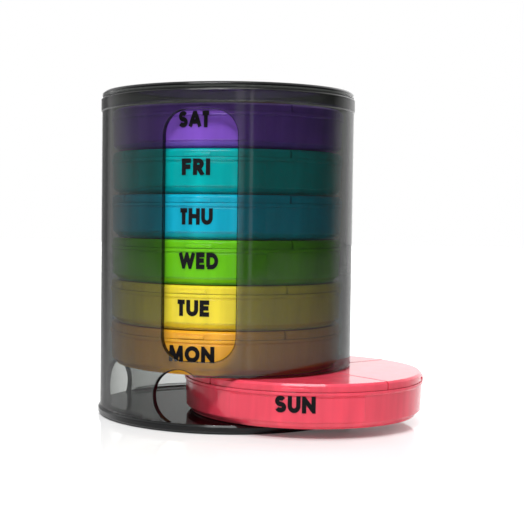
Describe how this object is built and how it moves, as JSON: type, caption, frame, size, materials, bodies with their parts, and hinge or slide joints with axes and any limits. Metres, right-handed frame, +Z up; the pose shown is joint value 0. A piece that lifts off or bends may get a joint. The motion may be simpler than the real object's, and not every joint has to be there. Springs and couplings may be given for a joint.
{
  "type": "weekly pill organizer tower",
  "caption": "Clear smoke-tinted round tower with a reading window and a bottom slot, holding a stack of coloured day trays with flip doors for tablets.",
  "frame": {"origin": "centre of the underside of the base plate, on the tower's axis", "axes": "+Z up along the tower's axis, -Y out of the reading window, +X towards the side where the lowest tray comes out"},
  "size_m": [0.1165, 0.0929, 0.1144],
  "materials": {
    "smoke": "clear smoke-tinted, polished mould",
    "sunday_plastic": "milky tinted, polished mould",
    "monday_plastic": "milky tinted, polished mould",
    "tuesday_plastic": "milky tinted, polished mould",
    "wednesday_plastic": "milky tinted, polished mould",
    "thursday_plastic": "milky tinted, polished mould",
    "friday_plastic": "milky tinted, polished mould",
    "saturday_plastic": "milky tinted, polished mould"
  },
  "bodies": {
    "tower": {"base_plate": "smoke", "tower_shell": "smoke"},
    "sunday": {"sunday_tray": "sunday_plastic", "sunday_door_front": "sunday_plastic", "sunday_door_right": "sunday_plastic", "sunday_door_back": "sunday_plastic", "sunday_door_left": "sunday_plastic"},
    "monday": {"monday_tray": "monday_plastic", "monday_door_front": "monday_plastic", "monday_door_right": "monday_plastic", "monday_door_back": "monday_plastic", "monday_door_left": "monday_plastic"},
    "tuesday": {"tuesday_tray": "tuesday_plastic", "tuesday_door_front": "tuesday_plastic", "tuesday_door_right": "tuesday_plastic", "tuesday_door_back": "tuesday_plastic", "tuesday_door_left": "tuesday_plastic"},
    "wednesday": {"wednesday_tray": "wednesday_plastic", "wednesday_door_front": "wednesday_plastic", "wednesday_door_right": "wednesday_plastic", "wednesday_door_back": "wednesday_plastic", "wednesday_door_left": "wednesday_plastic"},
    "thursday": {"thursday_tray": "thursday_plastic", "thursday_door_front": "thursday_plastic", "thursday_door_right": "thursday_plastic", "thursday_door_back": "thursday_plastic", "thursday_door_left": "thursday_plastic"},
    "friday": {"friday_tray": "friday_plastic", "friday_door_front": "friday_plastic", "friday_door_right": "friday_plastic", "friday_door_back": "friday_plastic", "friday_door_left": "friday_plastic"},
    "saturday": {"saturday_tray": "saturday_plastic", "saturday_door_front": "saturday_plastic", "saturday_door_right": "saturday_plastic", "saturday_door_back": "saturday_plastic", "saturday_door_left": "saturday_plastic"},
    "lid": {"tower_lid": "smoke"}
  },
  "joints": [
    {"name": "sunday_slide", "type": "slide", "parent": "tower", "child": "sunday", "axis": [0.9816, -0.1908, 0], "range_m": [-0.0298, 0.06]},
    {"name": "monday_lift", "type": "slide", "parent": "tower", "child": "monday", "axis": [0, 0, 1], "range_m": [0, 0.0972]},
    {"name": "tuesday_lift", "type": "slide", "parent": "monday", "child": "tuesday", "axis": [0, 0, 1], "range_m": [0, 0.0822]},
    {"name": "wednesday_lift", "type": "slide", "parent": "tuesday", "child": "wednesday", "axis": [0, 0, 1], "range_m": [0, 0.0672]},
    {"name": "thursday_lift", "type": "slide", "parent": "wednesday", "child": "thursday", "axis": [0, 0, 1], "range_m": [0, 0.0522]},
    {"name": "friday_lift", "type": "slide", "parent": "thursday", "child": "friday", "axis": [0, 0, 1], "range_m": [0, 0.0372]},
    {"name": "saturday_lift", "type": "slide", "parent": "friday", "child": "saturday", "axis": [0, 0, 1], "range_m": [0, 0.0222]},
    {"name": "lid_lift", "type": "slide", "parent": "saturday", "child": "lid", "axis": [0, 0, 1], "range_m": [0, 0.02]}
  ]
}
